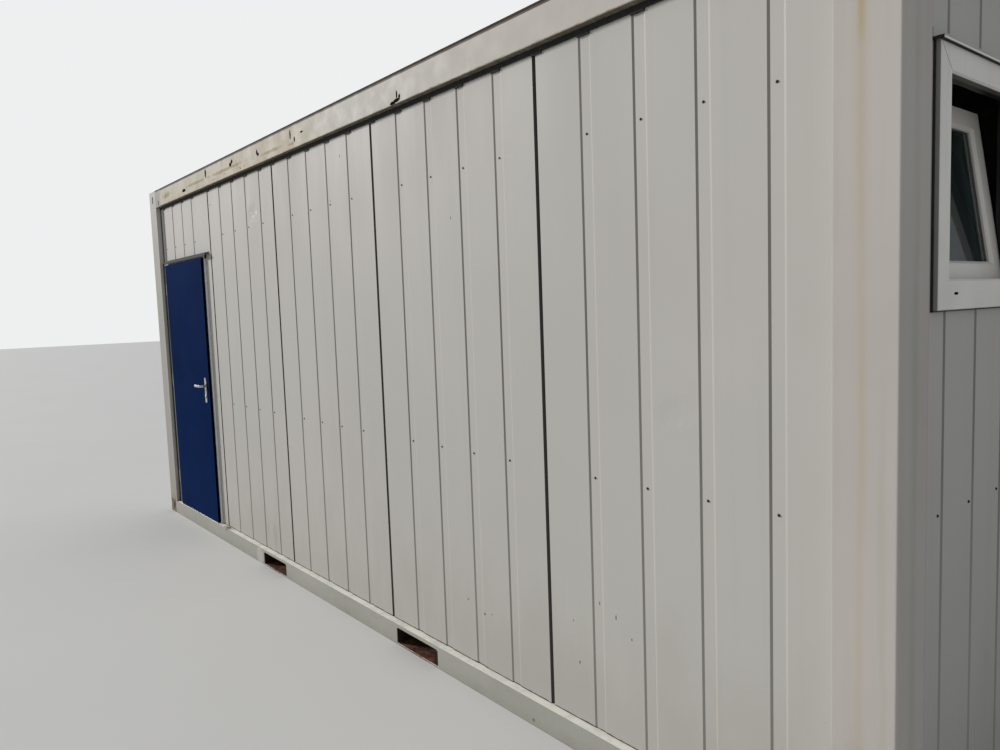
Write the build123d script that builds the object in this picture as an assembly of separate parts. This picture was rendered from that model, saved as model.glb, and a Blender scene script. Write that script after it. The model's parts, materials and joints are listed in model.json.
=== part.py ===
from build123d import *
import os

# Portable site cabin: a welded steel frame with corner posts and rails, filled with
# profiled sandwich wall panels, with a steel door in the front wall and a small tilting
# window in the right-hand end wall.
# Millimetres. Origin: centre of the footprint at ground level. +X runs along the length
# towards the window end, the door is in the -Y wall, +Z is up.

# Overall size
length = 6058
width = 2438
height = 2675

# Frame of rolled steel profiles
steel = 4
bottom_rail_foot = 58
top_rail_upstand = 63
top_rail_lip = 48
bottom_rail_height = 104
top_rail_height = 126
roof_edge_height = 10
rail_flange = 96
post_face = 170
post_end_face = 150
post_wall = 4
post_corner_radius = 8
bottom_casting_length = 134
bottom_casting_width = 120
casting_wall = 12
casting_slot_width = 24
casting_slot_height = 60
casting_slot_from_end = 92
casting_hole_diameter = 50

# Fork pockets under the floor
pocket_spacing = 1656
pocket_width = 352
pocket_height = 79
pocket_floor = 7
pocket_corner_radius = 12
tunnel_wall = 3

# Floor
joist_bays = 6
joist_from_end = 209
joist_flange = 50
joist_wall = 3
floor_board = 26
floor_clearance = 0.5

# Wall panels
recess = 36
panel_thickness = 60
troughs_per_panel = 4
trough_pitch = 234
trough_width = 56
trough_floor = 40
trough_depth = 3
first_trough = 251
joint_groove_width = 19
joint_groove_depth = 12
door_bay_width = 1126
front_panel_widths = [1130, 1171, 1167]
head_trough_from_joint = 335
end_trough_pitch = 212.5
end_first_trough = 264.5
seal_height = 18
seal_depth = 8

# Roof and ceiling
roof_sheet_thickness = 1.5
seam_width = 14
seam_spacing = 590
seam_from_edge = 12
ceiling_board = 12
ceiling_drop = 63
purlin_width = 50
purlin_spacing = 590

# Door
leaf_from_post = 118
leaf_width = 875
leaf_bottom = 113
leaf_height = 1950
leaf_face = 4
leaf_lap = 16
leaf_lap_thickness = 16
leaf_thickness = 50
door_gap = 6.5
lap_gap = 5
frame_wall = 3
frame_lap = 18
threshold_height = 3
drip_wall = 2
drip_gap = 5.5
drip_lip = 20
drip_fall = 6
drip_leg = 8
drip_proud = 3
drip_hinge_side = 20
drip_lock_side = 95
hinge_heights = [330, 1130, 1870]
knuckle_radius = 7
knuckle_length = 45
knuckle_plate = 10
hinge_pin_radius = 3.5
hinge_pin_cover = 2
pin_clearance = 0.3
hinge_gap = 10
hinge_strap = 36
lever_height = 1128
lever_from_edge = 69
lever_length = 125
lever_thickness = 11
lever_depth = 18
lever_bend = 15
lever_edge = 2
lever_standoff = 42
spindle_radius = 5
plate_width = 34
plate_height = 184
plate_thickness = 6
plate_corner_radius = 10
plate_above_lever = 62
lock_radius = 8.5
lock_drop = 78
lock_projection = 5

# Window
window_from_post = 99
window_width = 652
window_drop = 283
window_height = 678
window_proud = 18
window_stile = 72
window_sill = 81
window_depth = 72
window_stop = 44
frame_edge_round = 3
frame_inner_chamfer = 5
bead_chamfer = 9
drain_slot_width = 28
drain_slot_height = 7
drain_slot_depth = 10
drain_slot_height_up = 43
drain_slot_from_side = 116
flashing_wall = 2
flashing_reach = 11
flashing_leg = 26
flashing_lip = 6
flashing_side = 8
flashing_fall = 4
sash_rebate = 22
sash_clearance = 8
sash_height = 533
sash_profile = 62
sash_bottom_profile = 70
sash_depth = 55
sash_tilt = 8.7
sash_seat = 0.3
glass_thickness = 24

# Sizes that follow from the ones above
half_length = length / 2
half_width = width / 2
rail_top = height - roof_edge_height
rail_bottom = rail_top - top_rail_height
wall_bottom = bottom_rail_height
wall_top = rail_bottom
wall_back = recess + panel_thickness
front_post_edge = half_length - post_face
end_post_edge = half_width - post_end_face
joist_low = steel
joist_high = bottom_rail_height - steel
floor_top = joist_high + floor_board
ceiling_low = rail_bottom - ceiling_drop
leaf_left = leaf_from_post - front_post_edge
leaf_right = leaf_left + leaf_width
leaf_top = leaf_bottom + leaf_height
leaf_back = leaf_face + leaf_thickness
pin_u = leaf_left - hinge_gap
pin_w = leaf_face + knuckle_radius
lever_u = leaf_right - lever_from_edge
lock_height = lever_height - lock_drop
window_left = window_from_post - end_post_edge
window_right = window_left + window_width
window_top = rail_bottom - window_drop
window_bottom = window_top - window_height
window_face = recess - window_proud
window_back = window_face + window_depth
# Cutting tools reach this far past what they cut
spare = 1

# Each wall is drawn in its own plane: u runs along the wall, w runs inwards from the
# frame's outer plane. These four places put a wall where it stands.
places = {
    "front": Location((0, -half_width, 0)),
    "right": Location((half_length, 0, 0), (0, 0, 90)),
    "back": Location((0, half_width, 0), (0, 0, 180)),
    "left": Location((-half_length, 0, 0), (0, 0, -90)),
}


def block(u0, u1, w0, w1, z0, z1):
    middle = Pos((u0 + u1) / 2, (w0 + w1) / 2, (z0 + z1) / 2)
    return middle * Box(u1 - u0, w1 - w0, z1 - z0)


def upright(points, z0, z1):
    """A solid with the outline given in plan, standing from z0 to z1."""
    outline = make_face(Polyline(*points, close=True))
    return Pos(0, 0, z0) * extrude(outline, amount=z1 - z0, dir=(0, 0, 1))


def lengthwise(points, u0, u1):
    """A solid with the section given as (w, z) points, running from u0 to u1."""
    section = make_face(Polyline(*[(u0, w, z) for w, z in points], close=True))
    return extrude(section, amount=u1 - u0, dir=(1, 0, 0))


def rod(radius, u, w, z0, z1):
    return Pos(u, w, (z0 + z1) / 2) * Cylinder(radius, z1 - z0)


def cross_rod(radius, u, z, w0, w1):
    """A round bar along w, square to the wall."""
    return Pos(u, (w0 + w1) / 2, z) * Rot(90, 0, 0) * Cylinder(radius, w1 - w0)


def bottom_rail(half_span):
    """Channel that opens inwards: outer web, wide top flange, short bottom flange."""
    h = bottom_rail_height
    foot = bottom_rail_foot
    section = [
        (0, 0), (foot, 0), (foot, steel), (steel, steel),
        (steel, h - steel), (rail_flange, h - steel), (rail_flange, h), (0, h),
    ]
    return lengthwise(section, -half_span, half_span)


def pocket_opening(depth):
    """Fork pocket's clear opening, with rounded top corners, cut through the web."""
    opening = block(-pocket_width / 2, pocket_width / 2, -spare, depth,
                    pocket_floor, pocket_floor + pocket_height)
    top_edges = opening.edges().filter_by(Axis.Y).group_by(Axis.Z)[-1]
    return fillet(top_edges, pocket_corner_radius)


def top_rail(half_span):
    """Rolled top profile: outer face, soffit that covers the wall, inner web, top lip."""
    lip = top_rail_lip
    upstand = rail_bottom + top_rail_upstand
    section = [
        (0, rail_bottom), (rail_flange, rail_bottom), (rail_flange, upstand),
        (rail_flange - steel, upstand), (rail_flange - steel, rail_bottom + steel),
        (steel, rail_bottom + steel), (steel, rail_top - steel), (lip, rail_top - steel),
        (lip, rail_top), (0, rail_top),
    ]
    return lengthwise(section, -half_span, half_span)


def corner_post():
    """Folded L-shaped post of the front left corner, hollow, open at its ends."""
    a, b, d, t = post_face, post_end_face, rail_flange, post_wall
    outer = [(0, 0), (a, 0), (a, d), (d, d), (d, b), (0, b)]
    inner = [(t, t), (a - t, t), (a - t, d - t), (d - t, d - t), (d - t, b - t), (t, b - t)]
    body = upright(outer, wall_bottom, rail_bottom)
    corner = body.edges().filter_by(Axis.Z).sort_by_distance(Vertex(0, 0, wall_bottom))[0]
    body = fillet(corner, post_corner_radius)
    body -= upright(inner, wall_bottom - spare, rail_bottom + spare)
    return body


def casting(across, along, z0, z1):
    """Hollow corner casting of the front left corner, with a slot in each outer face."""
    body = block(0, across, 0, along, z0, z1)
    corner = body.edges().filter_by(Axis.Z).sort_by_distance(Vertex(0, 0, z0))[0]
    body = fillet(corner, post_corner_radius)
    t = casting_wall
    body -= block(t, across - t, t, along - t, z0 + t, z1 - t)
    middle = (z0 + z1) / 2
    slot = SlotOverall(casting_slot_height, casting_slot_width)
    front_slot = Plane((casting_slot_from_end, 0, middle), x_dir=(0, 0, 1), z_dir=(0, 1, 0))
    body -= extrude(front_slot * slot, amount=t + spare, both=True)
    side_slot = Plane((0, along / 2, middle), x_dir=(0, 0, 1), z_dir=(1, 0, 0))
    body -= extrude(side_slot * slot, amount=t + spare, both=True)
    return body


def bottom_casting():
    body = casting(bottom_casting_length, bottom_casting_width, 0, bottom_rail_height)
    hole = Pos(bottom_casting_length / 2, bottom_casting_width / 2, 0)
    return body - hole * Cylinder(casting_hole_diameter / 2, 2 * (casting_wall + spare))


def top_casting():
    body = casting(post_face, post_end_face, rail_bottom, height)
    hole = Pos(post_face / 2, post_end_face / 2, height)
    return body - hole * Cylinder(casting_hole_diameter / 2, 2 * (casting_wall + spare))


def four_corners(make):
    """The front left corner's piece and its mirror images, in the cabin's frame."""
    piece = Pos(-half_length, -half_width, 0) * make()
    other_end = mirror(piece, Plane.YZ)
    return {
        "front_left": piece,
        "front_right": other_end,
        "back_left": mirror(piece, Plane.XZ),
        "back_right": mirror(other_end, Plane.XZ),
    }


def deck_notch():
    """Corner of the floor deck that the bottom casting takes up."""
    return block(0, bottom_casting_length + floor_clearance,
                 0, bottom_casting_width + floor_clearance,
                 joist_high - spare, floor_top + spare)


def panel(u0, u1, troughs, z0, z1):
    """Sandwich panel with a troughed outer sheet and a groove half at each joint."""
    half_top = trough_width / 2
    half_floor = trough_floor / 2
    half_groove = joint_groove_width / 2
    points = [(u0, wall_back), (u0, recess + joint_groove_depth), (u0 + half_groove, recess)]
    for middle in troughs:
        points += [
            (middle - half_top, recess), (middle - half_floor, recess + trough_depth),
            (middle + half_floor, recess + trough_depth), (middle + half_top, recess),
        ]
    points += [(u1 - half_groove, recess), (u1, recess + joint_groove_depth), (u1, wall_back)]
    return upright(points, z0, z1)


def troughs_from(start):
    """Middles of the four troughs of a long wall's panel that begins at start."""
    return [start + first_trough + trough_pitch * i for i in range(troughs_per_panel)]


def troughs_between(middles, u0, u1):
    """The troughs that fit whole between two edges."""
    margin = trough_width / 2 + joint_groove_width / 2
    return [m for m in middles if u0 + margin < m < u1 - margin]


def save(node, shape):
    export_step(shape, os.path.join("parts", node + ".step"))


os.makedirs("parts", exist_ok=True)
nodes = {}

# Bottom frame
pockets = [-pocket_spacing / 2, pocket_spacing / 2]
long_rail = bottom_rail(half_length - bottom_casting_length)
short_rail = bottom_rail(half_width - bottom_casting_width)
for middle in pockets:
    long_rail -= Pos(middle, 0, 0) * pocket_opening(steel + spare)
for name, rail in (("front", long_rail), ("back", long_rail),
                   ("left", short_rail), ("right", short_rail)):
    nodes["bottom_rail_" + name] = places[name] * rail

inner_half_width = half_width - steel
tunnels = []
for middle in pockets:
    half = pocket_width / 2
    t = tunnel_wall
    tube = block(middle - half - t, middle + half + t, -inner_half_width, inner_half_width,
                 pocket_floor - t, pocket_floor + pocket_height + t)
    tube -= block(middle - half, middle + half, -half_width, half_width,
                  pocket_floor, pocket_floor + pocket_height)
    tunnels.append(tube)
nodes["fork_tunnels"] = Compound(children=tunnels)

castings = four_corners(bottom_casting)
nodes["bottom_corner_castings"] = Compound(children=list(castings.values()))

# Floor: channel joists from rail to rail, boards on top
joist_spacing = (half_length - joist_from_end) / joist_bays
joists = []
for i in range(-joist_bays, joist_bays + 1):
    x = i * joist_spacing
    near_pocket = any(abs(x - p) < pocket_width / 2 + tunnel_wall + joist_flange for p in pockets)
    if near_pocket:
        continue
    joist = block(x - joist_flange / 2, x + joist_flange / 2,
                  -inner_half_width, inner_half_width, joist_low, joist_high)
    joist -= block(x - joist_flange / 2 + joist_wall, x + joist_flange / 2 + spare,
                   -half_width, half_width, joist_low + joist_wall, joist_high - joist_wall)
    joists.append(joist)
nodes["floor_joists"] = Compound(children=joists)
deck_edge = rail_flange + floor_clearance
deck = block(-half_length + deck_edge, half_length - deck_edge,
             -half_width + deck_edge, half_width - deck_edge,
             joist_high, floor_top)
for notch in four_corners(deck_notch).values():
    deck -= notch
nodes["floor_deck"] = deck

# Corner posts and top castings
for name, post in four_corners(corner_post).items():
    nodes["corner_post_" + name] = post
nodes["top_corner_castings"] = Compound(children=list(four_corners(top_casting).values()))

# Top rails and roof
for name, half_span in (("front", front_post_edge), ("back", front_post_edge),
                        ("left", end_post_edge), ("right", end_post_edge)):
    nodes["top_rail_" + name] = places[name] * top_rail(half_span)

sheet = block(-front_post_edge, front_post_edge, -half_width + steel, half_width - steel,
              rail_top, rail_top + roof_sheet_thickness)
for side in (-1, 1):
    x = side * (front_post_edge + (post_face - steel) / 2)
    half = (post_face - steel) / 2
    sheet += block(x - half, x + half, -end_post_edge, end_post_edge,
                   rail_top, rail_top + roof_sheet_thickness)
seam_count = int(front_post_edge // seam_spacing)
for i in range(-seam_count, seam_count + 1):
    seam = block(i * seam_spacing - seam_width / 2, i * seam_spacing + seam_width / 2,
                 -half_width + seam_from_edge, half_width - seam_from_edge, rail_top, height)
    sheet += seam
nodes["roof_sheet"] = sheet

edge_strip = steel
edges = []
for name, half_span in (("front", front_post_edge), ("back", front_post_edge),
                        ("left", end_post_edge), ("right", end_post_edge)):
    strip = block(-half_span, half_span, 0, edge_strip, rail_top, height)
    edges.append(places[name] * strip)
nodes["roof_edge"] = Compound(children=edges)

inside_u = half_length - wall_back
inside_w = half_width - wall_back
nodes["ceiling"] = block(-inside_u, inside_u, -inside_w, inside_w,
                         ceiling_low, ceiling_low + ceiling_board)
purlins = []
purlin_count = int((half_length - rail_flange - purlin_width) // purlin_spacing)
purlin_half = half_width - rail_flange
for i in range(-purlin_count, purlin_count + 1):
    x = i * purlin_spacing
    purlins.append(block(x - purlin_width / 2, x + purlin_width / 2, -purlin_half, purlin_half,
                         ceiling_low + ceiling_board, rail_top))
nodes["roof_purlins"] = Compound(children=purlins)

# Front wall: the door's bay first, then four panels
door_head_bottom = leaf_top + door_gap + frame_wall + frame_lap
jamb_right = leaf_right - leaf_lap + door_gap + frame_lap + frame_wall
first_joint = door_bay_width - front_post_edge
joints = [first_joint]
for panel_width in front_panel_widths:
    joints.append(joints[-1] + panel_width)
joints.append(front_post_edge)
head_troughs = [first_joint - head_trough_from_joint - trough_pitch * i
                for i in range(troughs_per_panel)]
head = panel(-front_post_edge, first_joint,
             sorted(troughs_between(head_troughs, -front_post_edge, first_joint)),
             door_head_bottom, wall_top)
nodes["door_head_panel"] = places["front"] * head
side_panel = panel(jamb_right, first_joint, [], wall_bottom, door_head_bottom)
nodes["door_side_panel"] = places["front"] * side_panel
for i, (u0, u1) in enumerate(zip(joints[:-1], joints[1:])):
    troughs = troughs_between(troughs_from(u0), u0, u1)
    nodes["front_panel_" + str(i + 1)] = places["front"] * panel(u0, u1, troughs,
                                                                wall_bottom, wall_top)

# Back wall: five panels with the same joints, no door
back_joints = [-u for u in reversed(joints)] + [front_post_edge]
for i, (u0, u1) in enumerate(zip(back_joints[:-1], back_joints[1:])):
    troughs = troughs_between(troughs_from(u0), u0, u1)
    nodes["back_panel_" + str(i + 1)] = places["back"] * panel(u0, u1, troughs,
                                                              wall_bottom, wall_top)

# End walls: two panels each, the window cut through the right-hand end's first one
end_right = [end_first_trough + end_trough_pitch * i for i in range(troughs_per_panel)]
end_left = [-u for u in reversed(end_right)]
for name in ("left", "right"):
    first = panel(-end_post_edge, 0, troughs_between(end_left, -end_post_edge, 0),
                  wall_bottom, wall_top)
    second = panel(0, end_post_edge, troughs_between(end_right, 0, end_post_edge),
                   wall_bottom, wall_top)
    if name == "right":
        first -= block(window_left, window_right, 0, wall_back + spare,
                       window_bottom, window_top)
    nodes[name + "_end_panel_1"] = places[name] * first
    nodes[name + "_end_panel_2"] = places[name] * second

# Foam strip under each top rail, against the wall's face
strips = []
for name, half_span in (("front", front_post_edge), ("back", front_post_edge),
                        ("left", end_post_edge), ("right", end_post_edge)):
    strip = block(-half_span, half_span, recess - seal_depth, recess,
                  rail_bottom - seal_height, rail_bottom)
    strips.append(places[name] * strip)
nodes["wall_top_seals"] = Compound(children=strips)


# Door frame: two jambs and a head of folded steel, clamped round the panel's edge
def hollow(u0, u1, w0, w1, z0, z1):
    """Closed box profile standing upright, open at its two ends."""
    t = frame_wall
    inside = block(u0 + t, u1 - t, w0 + t, w1 - t, z0 - spare, z1 + spare)
    return block(u0, u1, w0, w1, z0, z1) - inside


frame_face = leaf_face + leaf_lap_thickness + lap_gap
reveal_left = leaf_left + leaf_lap - door_gap
reveal_right = leaf_right - leaf_lap + door_gap
reveal_top = leaf_top - leaf_lap + door_gap
jamb_left_piece = hollow(-front_post_edge, reveal_left, frame_face, wall_back,
                         wall_bottom, reveal_top)
jamb_right_piece = hollow(reveal_right, jamb_right, frame_face, wall_back,
                          wall_bottom, reveal_top)
nodes["door_jamb_left"] = places["front"] * jamb_left_piece
nodes["door_jamb_right"] = places["front"] * jamb_right_piece
head_piece = block(-front_post_edge, jamb_right, frame_face, wall_back,
                   reveal_top, door_head_bottom)
t = frame_wall
head_piece -= block(-front_post_edge - spare, jamb_right + spare, frame_face + t, wall_back - t,
                    reveal_top + t, door_head_bottom - t)
nodes["door_frame_head"] = places["front"] * head_piece
threshold = block(reveal_left, reveal_right, leaf_face, wall_back, wall_bottom,
                  wall_bottom + threshold_height)
nodes["door_threshold"] = places["front"] * threshold

# Drip moulding over the door, fixed to the head panel's face
drip_low = leaf_top + drip_gap
drip_edge = drip_low + drip_lip
drip_root = drip_edge + drip_fall
d0 = recess
d1 = leaf_face - drip_proud
drip_section = [
    (d0, drip_root + drip_leg), (d0 - drip_wall, drip_root + drip_leg),
    (d0 - drip_wall, drip_root), (d1, drip_edge), (d1, drip_low), (d1 + drip_wall, drip_low),
    (d1 + drip_wall, drip_edge - drip_wall), (d0, drip_root - drip_wall),
]
drip = lengthwise(drip_section, leaf_left - drip_hinge_side, leaf_right + drip_lock_side)
nodes["door_drip"] = places["front"] * drip

# Door leaf: a tray with a lapped edge and a core behind it
core_left = leaf_left + leaf_lap
core_right = leaf_right - leaf_lap
lap_back = leaf_face + leaf_lap_thickness
leaf = block(leaf_left, leaf_right, leaf_face, lap_back, leaf_bottom, leaf_top)
leaf += block(core_left, core_right, lap_back, leaf_back, leaf_bottom, leaf_top - leaf_lap)
lock_holes = cross_rod(spindle_radius + pin_clearance, lever_u, lever_height,
                       leaf_face - leaf_thickness, leaf_back + leaf_thickness)
lock_holes += cross_rod(lock_radius, lever_u, lock_height,
                        leaf_face - leaf_thickness, leaf_back + leaf_thickness)
nodes["door_leaf"] = places["front"] * (leaf - lock_holes)

# Hinges: the lower knuckle and the pin belong to the jamb, the upper knuckle to the leaf
fixed_halves = []
moving_halves = []
for z in hinge_heights:
    low = z - knuckle_length
    high = z + knuckle_length
    pin = rod(hinge_pin_radius, pin_u, pin_w, z, high - hinge_pin_cover)
    knuckle = rod(knuckle_radius, pin_u, pin_w, low, z)
    neck = block(pin_u - knuckle_radius, pin_u, pin_w, frame_face - frame_wall, low, z)
    strap = block(pin_u - hinge_strap, pin_u, frame_face - frame_wall, frame_face, low, z)
    fixed_halves.append(knuckle + pin + neck + strap)
    turning = rod(knuckle_radius, pin_u, pin_w, z + pin_clearance, high)
    turning += block(pin_u, leaf_left, pin_w - knuckle_plate / 2, pin_w + knuckle_plate / 2,
                     z + pin_clearance, high)
    turning -= rod(hinge_pin_radius + pin_clearance, pin_u, pin_w, z, high - hinge_pin_cover / 2)
    moving_halves.append(turning)
nodes["hinges_on_jamb"] = places["front"] * Compound(children=fixed_halves)
nodes["hinges_on_leaf"] = places["front"] * Compound(children=moving_halves)

# Handle plates, lock cylinder and the two levers on one spindle
plate_high = lever_height + plate_above_lever
plate_low = plate_high - plate_height
plates = []
for w0, w1 in ((leaf_face - plate_thickness, leaf_face), (leaf_back, leaf_back + plate_thickness)):
    plate = block(lever_u - plate_width / 2, lever_u + plate_width / 2, w0, w1,
                  plate_low, plate_high)
    plate = fillet(plate.edges().filter_by(Axis.Y), plate_corner_radius)
    plates.append(plate - lock_holes)
nodes["handle_plates"] = places["front"] * Compound(children=plates)
nodes["lock_cylinder"] = places["front"] * cross_rod(
    lock_radius, lever_u, lock_height,
    leaf_face - plate_thickness - lock_projection, leaf_back + plate_thickness + lock_projection)


def lever_grip(plate_w, grip_w):
    """Flat bar from its plate out to the grip's line, bent to run back over the leaf."""
    half = lever_thickness / 2
    outwards = half if grip_w > plate_w else -half
    bar = upright([
        (lever_u - half, plate_w), (lever_u + half, plate_w),
        (lever_u + half, grip_w + outwards), (lever_u - lever_length, grip_w + outwards),
        (lever_u - lever_length, grip_w - outwards), (lever_u - half, grip_w - outwards),
    ], lever_height - lever_depth / 2, lever_height + lever_depth / 2)
    for corner, radius in (
            ((lever_u - half, grip_w - outwards), lever_bend),
            ((lever_u + half, grip_w + outwards), lever_bend + lever_thickness)):
        edge = bar.edges().filter_by(Axis.Z).sort_by_distance(Vertex(*corner, lever_height))[0]
        bar = fillet(edge, radius)
    rims = bar.edges().group_by(Axis.Z)
    return chamfer(rims[0] + rims[-1], lever_edge)


grip_front = leaf_face - lever_standoff
grip_back = leaf_back + lever_standoff
front_plate_face = leaf_face - plate_thickness - pin_clearance
back_plate_face = leaf_back + plate_thickness + pin_clearance
levers = cross_rod(spindle_radius, lever_u, lever_height, front_plate_face, back_plate_face)
levers += lever_grip(front_plate_face, grip_front)
levers += lever_grip(back_plate_face, grip_back)
nodes["door_levers"] = places["front"] * levers


# Window: frame with a stop, sash tilted inwards about its bottom edge, double glazing
def ring(u0, u1, z0, z1, w0, w1, left, right, low, high):
    """Upright rectangular frame with its own width on each side."""
    opening = block(u0 + left, u1 - right, w0 - spare, w1 + spare, z0 + low, z1 - high)
    return block(u0, u1, w0, w1, z0, z1) - opening


def opening_edges(frame, w, u0, u1, z0, z1):
    """Edges of a frame's opening in the plane at w, inside the frame's outline."""
    return frame.edges().filter_by(
        lambda e: abs(e.center().Y - w) < pin_clearance and u0 + spare < e.center().X < u1 - spare
        and z0 + spare < e.center().Z < z1 - spare)


stop_back = window_face + window_stop
frame_ring = ring(window_left, window_right, window_bottom, window_top,
                  window_face, stop_back, window_stile, window_stile, window_sill, window_stile)
rebate_side = window_stile - sash_rebate
rebate_low = window_sill - sash_rebate
frame_ring += ring(window_left, window_right, window_bottom, window_top,
                   stop_back, window_back, rebate_side, rebate_side, rebate_low, rebate_side)
frame_ring = chamfer(
    opening_edges(frame_ring, window_face, window_left, window_right, window_bottom, window_top),
    frame_inner_chamfer)
outline = (frame_ring.edges().group_by(Axis.Y)[0]
           - opening_edges(frame_ring, window_face, window_left, window_right,
                           window_bottom, window_top))
frame_ring = fillet(outline, frame_edge_round)
drain_height = window_bottom + drain_slot_height_up
for u in (window_left + drain_slot_from_side, window_right - drain_slot_from_side):
    slot = Plane((u, window_face, drain_height), x_dir=(1, 0, 0), z_dir=(0, 1, 0))
    frame_ring -= extrude(slot * SlotOverall(drain_slot_width, drain_slot_height),
                          amount=drain_slot_depth)
nodes["window_frame"] = places["right"] * frame_ring

sash_left = window_left + rebate_side + sash_clearance
sash_right = window_right - rebate_side - sash_clearance
sash_low = window_bottom + rebate_low + sash_clearance
sash_high = sash_low + sash_height
sash_front = stop_back + sash_seat
sash = ring(sash_left, sash_right, sash_low, sash_high, sash_front, sash_front + sash_depth,
            sash_profile, sash_profile, sash_bottom_profile, sash_profile)
sash = chamfer(opening_edges(sash, sash_front, sash_left, sash_right, sash_low, sash_high),
               bead_chamfer)
glass_front = sash_front + (sash_depth - glass_thickness) / 2
glass = block(sash_left + sash_profile, sash_right - sash_profile,
              glass_front, glass_front + glass_thickness,
              sash_low + sash_bottom_profile, sash_high - sash_profile)
tilt_axis = Axis((0, sash_front, sash_low), (1, 0, 0))
nodes["window_sash"] = places["right"] * sash.rotate(tilt_axis, -sash_tilt)
nodes["window_glass"] = places["right"] * glass.rotate(tilt_axis, -sash_tilt)

# Flashing over the window: a leg on the wall, a plate that falls outwards and a lip
top = window_top + flashing_fall
edge = window_face - flashing_reach
wall = flashing_wall
flashing_section = [
    (recess, top + flashing_leg), (recess - wall, top + flashing_leg), (recess - wall, top + wall),
    (edge, top + wall - flashing_fall), (edge, top - flashing_lip), (edge + wall, top - flashing_lip),
    (edge + wall, top - flashing_fall), (recess, top),
]
flashing = lengthwise(flashing_section, window_left - flashing_side, window_right + flashing_side)
nodes["window_flashing"] = places["right"] * flashing

for node, shape in nodes.items():
    save(node, shape)
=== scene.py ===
import bpy
import bmesh
import json
import math
from mathutils import Matrix, Vector


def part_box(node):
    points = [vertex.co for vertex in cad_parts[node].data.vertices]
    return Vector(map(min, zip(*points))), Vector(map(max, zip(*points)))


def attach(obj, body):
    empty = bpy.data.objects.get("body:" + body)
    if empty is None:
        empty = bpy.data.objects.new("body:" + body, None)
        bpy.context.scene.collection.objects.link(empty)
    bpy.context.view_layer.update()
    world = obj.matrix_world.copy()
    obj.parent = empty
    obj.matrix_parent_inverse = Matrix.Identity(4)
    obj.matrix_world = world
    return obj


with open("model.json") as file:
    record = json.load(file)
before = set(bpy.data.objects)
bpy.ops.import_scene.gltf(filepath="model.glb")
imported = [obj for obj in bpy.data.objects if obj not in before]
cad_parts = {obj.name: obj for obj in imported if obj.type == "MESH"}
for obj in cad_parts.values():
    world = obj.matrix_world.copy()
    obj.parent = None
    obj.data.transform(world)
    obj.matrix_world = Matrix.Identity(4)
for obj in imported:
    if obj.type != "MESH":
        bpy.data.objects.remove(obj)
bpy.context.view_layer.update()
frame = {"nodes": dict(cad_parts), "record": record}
nodes = frame["nodes"]

# Sizes read from the frame, in metres
CASTINGS_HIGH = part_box("bottom_corner_castings")[1]
HALF_LENGTH = CASTINGS_HIGH.x
HALF_WIDTH = CASTINGS_HIGH.y
RAIL_LOW, RAIL_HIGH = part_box("top_rail_front")
PANEL_LOW, PANEL_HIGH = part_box("front_panel_2")
WALL_FACE = PANEL_LOW.y + HALF_WIDTH
WALL_BACK = PANEL_HIGH.y + HALF_WIDTH
POST_EDGE = RAIL_HIGH.x
END_POST_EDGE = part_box("top_rail_right")[1].y
LEAF_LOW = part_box("door_leaf")[0]
DRIP_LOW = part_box("door_drip")[0]
WINDOW_LOW, WINDOW_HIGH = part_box("window_frame")
JAMB_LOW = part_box("door_jamb_right")[0]

# Stains on the near post: distances from its end face and from the front, heights of a fade
BROWN_RUN = 0.106
BROWN_RUN_FADE = (2.19, 2.27)
GREEN_RUN = 0.045
GREEN_BAND = 0.075

# Sizes of the troughed sheet, as in the solids
TROUGH_PITCH = 0.234
TROUGH_WIDTH = 0.056
TROUGH_DEPTH = 0.003
FIRST_TROUGH = 0.251
HEAD_LAST_TROUGH = 0.335
END_TROUGH_PITCH = 0.2125
END_FIRST_TROUGH = 0.2645
GROOVE_WIDTH = 0.019
GROOVE_DEPTH = 0.012
SCREW_HEIGHTS = (1.024, 2.196)
SCREW_RADIUS = 0.003
SCREW_RISE = 0.004
WINDOW_STILE = 0.072

# Gaps that keep an added piece off the solid beside it and off the face behind it
SIDE_GAP = 0.0003
FACE_GAP = 0.0002

# A wall's own plane: u along the wall, w inwards from the frame's outer plane
PLACES = {
    "front": Matrix.Translation((0, -HALF_WIDTH, 0)),
    "right": Matrix.Translation((HALF_LENGTH, 0, 0)) @ Matrix.Rotation(math.pi / 2, 4, "Z"),
    "back": Matrix.Translation((0, HALF_WIDTH, 0)) @ Matrix.Rotation(math.pi, 4, "Z"),
    "left": Matrix.Translation((-HALF_LENGTH, 0, 0)) @ Matrix.Rotation(-math.pi / 2, 4, "Z"),
}


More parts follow.
